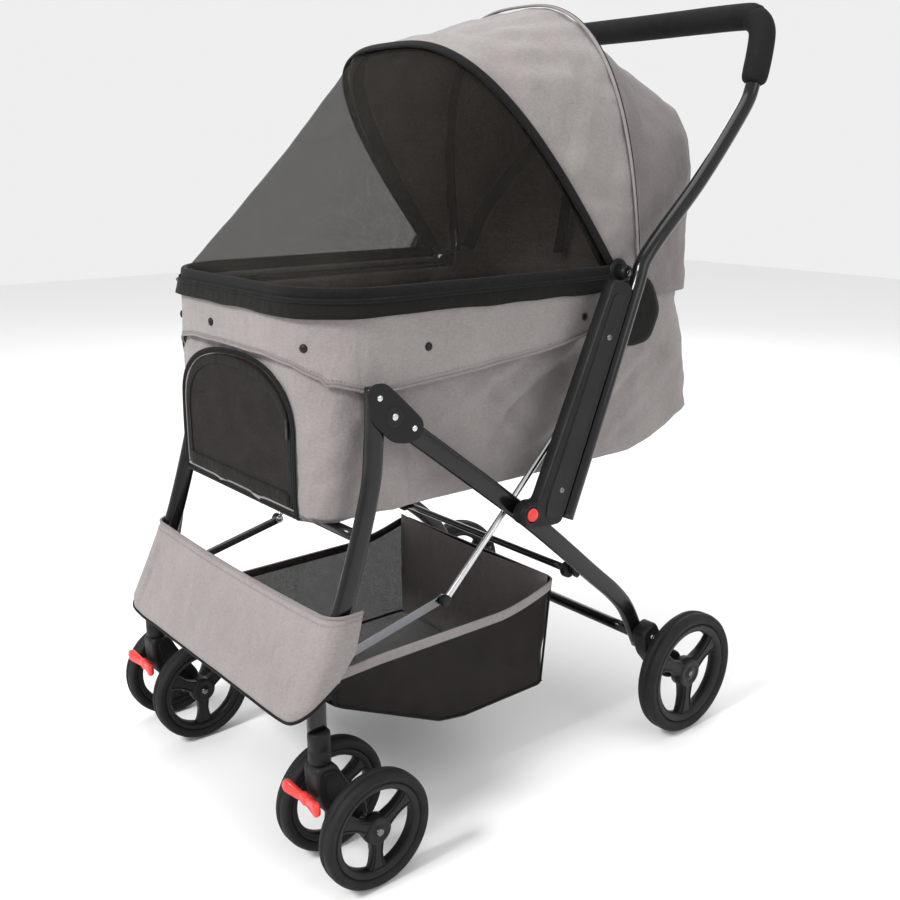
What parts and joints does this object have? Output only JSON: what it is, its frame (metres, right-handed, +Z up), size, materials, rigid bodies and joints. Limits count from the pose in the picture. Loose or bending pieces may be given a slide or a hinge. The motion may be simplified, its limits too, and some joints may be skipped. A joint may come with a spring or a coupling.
{
  "type": "pet stroller",
  "caption": "Folding four-wheel pet stroller: fabric cabin with mesh hood and front door, lower basket, bent push handle, swivel front casters and spoked rear wheels.",
  "frame": {"origin": "on the floor, under the middle of the object's bounding box", "axes": "+X towards the right side, -Y towards the front, +Z up"},
  "size_m": [0.54, 0.7917, 1.0009],
  "materials": {
    "gloss_black_tube": "gloss",
    "black_plastic": "satin",
    "steel_wire": "bright",
    "grip_foam": "matte foam",
    "tyre": "matte",
    "red_plastic": "gloss",
    "grey_fabric": "woven",
    "dark_fabric": "woven",
    "dark_mesh": "open mesh"
  },
  "bodies": {
    "rear_frame": {"rear_leg_R": "gloss_black_tube", "rear_wheel_bracket_R": "black_plastic", "top_hinge_R": "black_plastic", "basket_hanger_R": "black_plastic", "rear_leg_L": "gloss_black_tube", "rear_wheel_bracket_L": "black_plastic", "top_hinge_L": "black_plastic", "basket_hanger_L": "black_plastic", "rear_axle_tube": "gloss_black_tube", "basket": "dark_mesh", "basket_rod": "gloss_black_tube", "cabin_tub": "grey_fabric", "floor_board": "dark_fabric", "cushion_mat": "dark_fabric"},
    "handle": {"handle_tube": "gloss_black_tube", "handle_grip": "grip_foam", "handle_housing_R": "black_plastic", "handle_housing_L": "black_plastic", "brace_rod_R": "steel_wire", "brace_rod_L": "steel_wire"},
    "front_frame": {"front_leg_R": "gloss_black_tube", "front_leg_L": "gloss_black_tube", "caster_socket_R": "black_plastic", "caster_socket_L": "black_plastic", "front_cross_tube": "gloss_black_tube", "apron_panel": "grey_fabric"},
    "brace_links": {"brace_link_R": "steel_wire", "brace_link_L": "steel_wire"},
    "rim": {"rim_frame": "steel_wire", "hood_pivot_R": "black_plastic", "hood_pivot_L": "black_plastic", "hood_rear_panel": "grey_fabric"},
    "hood_front": {"hood_hoop_front": "steel_wire", "hood_mesh": "dark_mesh"},
    "hood_arch": {"hood_hoop_arch": "steel_wire", "hood_front_panel": "grey_fabric"},
    "hood_rear": {"hood_hoop_rear": "steel_wire"},
    "door": {"door_flap": "dark_mesh"},
    "rear_wheel_R": {"rear_tyre_R": "tyre", "rear_rim_R": "black_plastic"},
    "caster_R": {"caster_fork_R": "black_plastic", "caster_axle_R": "steel_wire"},
    "swivel_lock_R": {"swivel_lever_R": "red_plastic"},
    "front_wheel_outer_R": {"front_tyre_outer_R": "tyre", "front_rim_outer_R": "black_plastic"},
    "front_wheel_inner_R": {"front_tyre_inner_R": "tyre", "front_rim_inner_R": "black_plastic"},
    "brake_R": {"brake_pedal_R": "black_plastic"},
    "button_R": {"fold_button_R": "red_plastic"},
    "rear_wheel_L": {"rear_tyre_L": "tyre", "rear_rim_L": "black_plastic"},
    "caster_L": {"caster_fork_L": "black_plastic", "caster_axle_L": "steel_wire"},
    "swivel_lock_L": {"swivel_lever_L": "red_plastic"},
    "front_wheel_outer_L": {"front_tyre_outer_L": "tyre", "front_rim_outer_L": "black_plastic"},
    "front_wheel_inner_L": {"front_tyre_inner_L": "tyre", "front_rim_inner_L": "black_plastic"},
    "brake_L": {"brake_pedal_L": "black_plastic"},
    "button_L": {"fold_button_L": "red_plastic"}
  },
  "joints": [
    {"name": "frame_fold", "type": "hinge", "parent": "rear_frame", "child": "handle", "pos_m": [0, -0.07, 0.383], "axis": [1, 0, 0], "range_deg": [0, 85]},
    {"name": "front_leg_fold", "type": "hinge", "parent": "rear_frame", "child": "front_frame", "pos_m": [0, -0.257, 0.529], "axis": [1, 0, 0], "range_deg": [0, 38], "deforming": ["basket"]},
    {"name": "brace_link_turn", "type": "hinge", "parent": "front_frame", "child": "brace_links", "pos_m": [0, -0.331, 0.249], "axis": [1, 0, 0], "range_deg": [-46, 0]},
    {"name": "rim_collapse", "type": "hinge", "parent": "rear_frame", "child": "rim", "pos_m": [0, -0.257, 0.529], "axis": [1, 0, 0], "range_deg": [-17, 0], "deforming": ["cabin_tub"]},
    {"name": "hood_open", "type": "hinge", "parent": "rim", "child": "hood_front", "pos_m": [0, 0.117, 0.657], "axis": [1, 0, 0], "range_deg": [-100, 0], "deforming": ["hood_mesh"]},
    {"name": "hood_arch_turn", "type": "hinge", "parent": "hood_front", "child": "hood_arch", "pos_m": [0, 0.117, 0.657], "axis": [1, 0, 0], "range_deg": [0, 46], "deforming": ["hood_front_panel"]},
    {"name": "hood_rear_turn", "type": "hinge", "parent": "hood_arch", "child": "hood_rear", "pos_m": [0, 0.117, 0.657], "axis": [1, 0, 0], "range_deg": [0, 12.5], "deforming": ["hood_rear_panel"]},
    {"name": "door_open", "type": "hinge", "parent": "rear_frame", "child": "door", "pos_m": [0, -0.333, 0.4155], "axis": [1, 0, 0], "range_deg": [0, 95]},
    {"name": "rear_wheel_spin_R", "type": "hinge", "parent": "rear_frame", "child": "rear_wheel_R", "pos_m": [0.256, 0.223, 0.088], "axis": [1, 0, 0], "continuous": true},
    {"name": "caster_swivel_R", "type": "hinge", "parent": "front_frame", "child": "caster_R", "pos_m": [0.2115, -0.363, 0.15], "axis": [0, 0, 1], "continuous": true},
    {"name": "front_wheel_spin_outer_R", "type": "hinge", "parent": "caster_R", "child": "front_wheel_outer_R", "pos_m": [0.257, -0.3215, 0.0705], "axis": [1, 0, 0], "continuous": true},
    {"name": "front_wheel_spin_inner_R", "type": "hinge", "parent": "caster_R", "child": "front_wheel_inner_R", "pos_m": [0.166, -0.3215, 0.0705], "axis": [1, 0, 0], "continuous": true},
    {"name": "swivel_lock_R", "type": "hinge", "parent": "caster_R", "child": "swivel_lock_R", "pos_m": [0.2115, -0.379, 0.112], "axis": [1, 0, 0], "range_deg": [-25, 0]},
    {"name": "brake_press_R", "type": "hinge", "parent": "rear_frame", "child": "brake_R", "pos_m": [0.2085, 0.214, 0.11], "axis": [1, 0, 0], "range_deg": [-20, 0]},
    {"name": "fold_button_press_R", "type": "slide", "parent": "handle", "child": "button_R", "axis": [-1, 0, 0], "range_m": [0, 0.004], "stiffness_N_per_m": 500},
    {"name": "rear_wheel_spin_L", "type": "hinge", "parent": "rear_frame", "child": "rear_wheel_L", "pos_m": [-0.256, 0.223, 0.088], "axis": [1, 0, 0], "continuous": true},
    {"name": "caster_swivel_L", "type": "hinge", "parent": "front_frame", "child": "caster_L", "pos_m": [-0.2115, -0.363, 0.15], "axis": [0, 0, 1], "continuous": true},
    {"name": "front_wheel_spin_outer_L", "type": "hinge", "parent": "caster_L", "child": "front_wheel_outer_L", "pos_m": [-0.257, -0.3215, 0.0705], "axis": [1, 0, 0], "continuous": true},
    {"name": "front_wheel_spin_inner_L", "type": "hinge", "parent": "caster_L", "child": "front_wheel_inner_L", "pos_m": [-0.166, -0.3215, 0.0705], "axis": [1, 0, 0], "continuous": true},
    {"name": "swivel_lock_L", "type": "hinge", "parent": "caster_L", "child": "swivel_lock_L", "pos_m": [-0.2115, -0.379, 0.112], "axis": [1, 0, 0], "range_deg": [-25, 0]},
    {"name": "brake_press_L", "type": "hinge", "parent": "rear_frame", "child": "brake_L", "pos_m": [-0.2085, 0.214, 0.11], "axis": [1, 0, 0], "range_deg": [-20, 0]},
    {"name": "fold_button_press_L", "type": "slide", "parent": "handle", "child": "button_L", "axis": [1, 0, 0], "range_m": [0, 0.004], "stiffness_N_per_m": 500}
  ],
  "couplings": [
    {"joint": "front_leg_fold", "follows": "frame_fold", "ratio": 0.44},
    {"joint": "brace_link_turn", "follows": "frame_fold", "ratio": -0.534},
    {"joint": "rim_collapse", "follows": "frame_fold", "ratio": -0.19},
    {"joint": "hood_arch_turn", "follows": "hood_open", "ratio": -0.45},
    {"joint": "hood_rear_turn", "follows": "hood_open", "ratio": -0.12}
  ]
}
